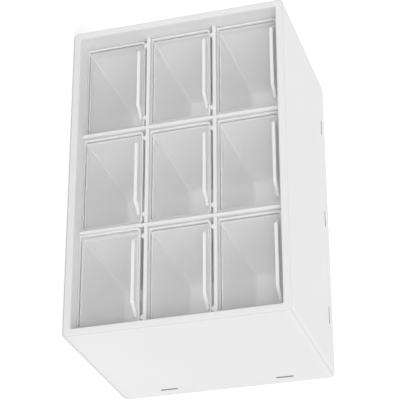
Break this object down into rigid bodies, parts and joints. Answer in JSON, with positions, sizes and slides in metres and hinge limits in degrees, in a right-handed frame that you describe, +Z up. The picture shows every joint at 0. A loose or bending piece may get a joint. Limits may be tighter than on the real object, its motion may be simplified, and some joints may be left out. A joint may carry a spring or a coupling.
{
  "type": "desktop drawer organizer",
  "caption": "White desktop cabinet with a grid of small clear pull-out drawers, each with a finger lip along its top, for stationery and small parts.",
  "frame": {"origin": "middle of the casing's footprint, on the surface that the organizer stands on", "axes": "+X to the right seen from the front, -Y towards the user, the way the drawers open, +Z up"},
  "size_m": [0.266, 0.14, 0.175],
  "materials": {
    "white_plastic": "satin, moulded",
    "clear_plastic": "clear, glossy"
  },
  "bodies": {
    "cabinet": {"casing": "white_plastic", "back_panel": "white_plastic", "shelf_lower": "white_plastic", "shelf_upper": "white_plastic", "upright_left": "white_plastic", "upright_right": "white_plastic"},
    "drawer_bottom_left": {"drawer_bottom_left": "clear_plastic"},
    "drawer_middle_left": {"drawer_middle_left": "clear_plastic"},
    "drawer_top_left": {"drawer_top_left": "clear_plastic"},
    "drawer_bottom_centre": {"drawer_bottom_centre": "clear_plastic"},
    "drawer_middle_centre": {"drawer_middle_centre": "clear_plastic"},
    "drawer_top_centre": {"drawer_top_centre": "clear_plastic"},
    "drawer_bottom_right": {"drawer_bottom_right": "clear_plastic"},
    "drawer_middle_right": {"drawer_middle_right": "clear_plastic"},
    "drawer_top_right": {"drawer_top_right": "clear_plastic"}
  },
  "joints": [
    {"name": "bottom_left_slide", "type": "slide", "parent": "cabinet", "child": "drawer_bottom_left", "axis": [0, -1, 0], "range_m": [-0.0042, 0.1043]},
    {"name": "middle_left_slide", "type": "slide", "parent": "cabinet", "child": "drawer_middle_left", "axis": [0, -1, 0], "range_m": [-0.0062, 0.1023]},
    {"name": "top_left_slide", "type": "slide", "parent": "cabinet", "child": "drawer_top_left", "axis": [0, -1, 0], "range_m": [-0.0062, 0.1023]},
    {"name": "bottom_centre_slide", "type": "slide", "parent": "cabinet", "child": "drawer_bottom_centre", "axis": [0, -1, 0], "range_m": [-0.0062, 0.1023]},
    {"name": "middle_centre_slide", "type": "slide", "parent": "cabinet", "child": "drawer_middle_centre", "axis": [0, -1, 0], "range_m": [-0.0062, 0.1023]},
    {"name": "top_centre_slide", "type": "slide", "parent": "cabinet", "child": "drawer_top_centre", "axis": [0, -1, 0], "range_m": [-0.0062, 0.1023]},
    {"name": "bottom_right_slide", "type": "slide", "parent": "cabinet", "child": "drawer_bottom_right", "axis": [0, -1, 0], "range_m": [-0.0092, 0.0993]},
    {"name": "middle_right_slide", "type": "slide", "parent": "cabinet", "child": "drawer_middle_right", "axis": [0, -1, 0], "range_m": [-0.0062, 0.1023]},
    {"name": "top_right_slide", "type": "slide", "parent": "cabinet", "child": "drawer_top_right", "axis": [0, -1, 0], "range_m": [-0.0062, 0.1023]}
  ]
}
